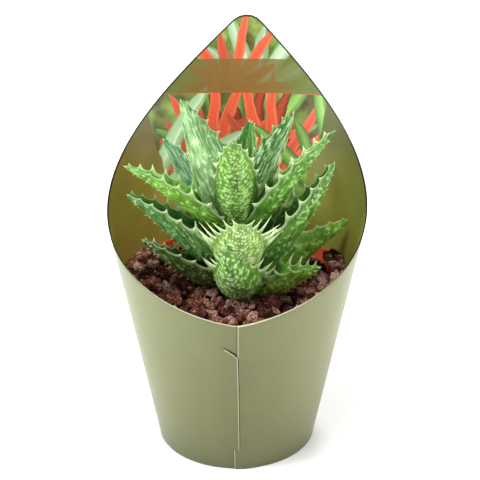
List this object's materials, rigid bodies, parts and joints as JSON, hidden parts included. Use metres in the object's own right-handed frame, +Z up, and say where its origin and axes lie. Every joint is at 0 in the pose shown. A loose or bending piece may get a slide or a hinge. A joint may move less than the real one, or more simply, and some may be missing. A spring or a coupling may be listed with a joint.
{
  "type": "potted succulent plant",
  "caption": "Potted aloe squarrosa: spotted, toothed green leaves over lava grit in a plastic pot, inside a green card sleeve with a tall back.",
  "frame": {"origin": "centre of the pot's underside, on the table", "axes": "+Z up along the pot's axis, +Y towards the sleeve's tall back, -Y towards its front seam, +X to the right seen from the front"},
  "size_m": [0.1214, 0.1293, 0.1898],
  "materials": {
    "leaf_green": "satin",
    "stem_green": "matte",
    "lava_grit": "matte",
    "potting_mix": "matte",
    "pot_plastic": "satin",
    "sleeve_card": "satin"
  },
  "bodies": {
    "root": {"leaf_01": "leaf_green", "leaf_02": "leaf_green", "leaf_03": "leaf_green", "leaf_04": "leaf_green", "leaf_05": "leaf_green", "leaf_06": "leaf_green", "leaf_07": "leaf_green", "leaf_08": "leaf_green", "leaf_09": "leaf_green", "leaf_10": "leaf_green", "leaf_11": "leaf_green", "leaf_12": "leaf_green", "leaf_13": "leaf_green", "leaf_14": "leaf_green", "leaf_15": "leaf_green", "leaf_16": "leaf_green", "leaf_17": "leaf_green", "leaf_18": "leaf_green", "leaf_19": "leaf_green", "leaf_20": "leaf_green", "leaf_21": "leaf_green", "stem": "stem_green", "grit": "lava_grit", "soil": "potting_mix", "pot": "pot_plastic", "sleeve": "sleeve_card"}
  },
  "joints": []
}
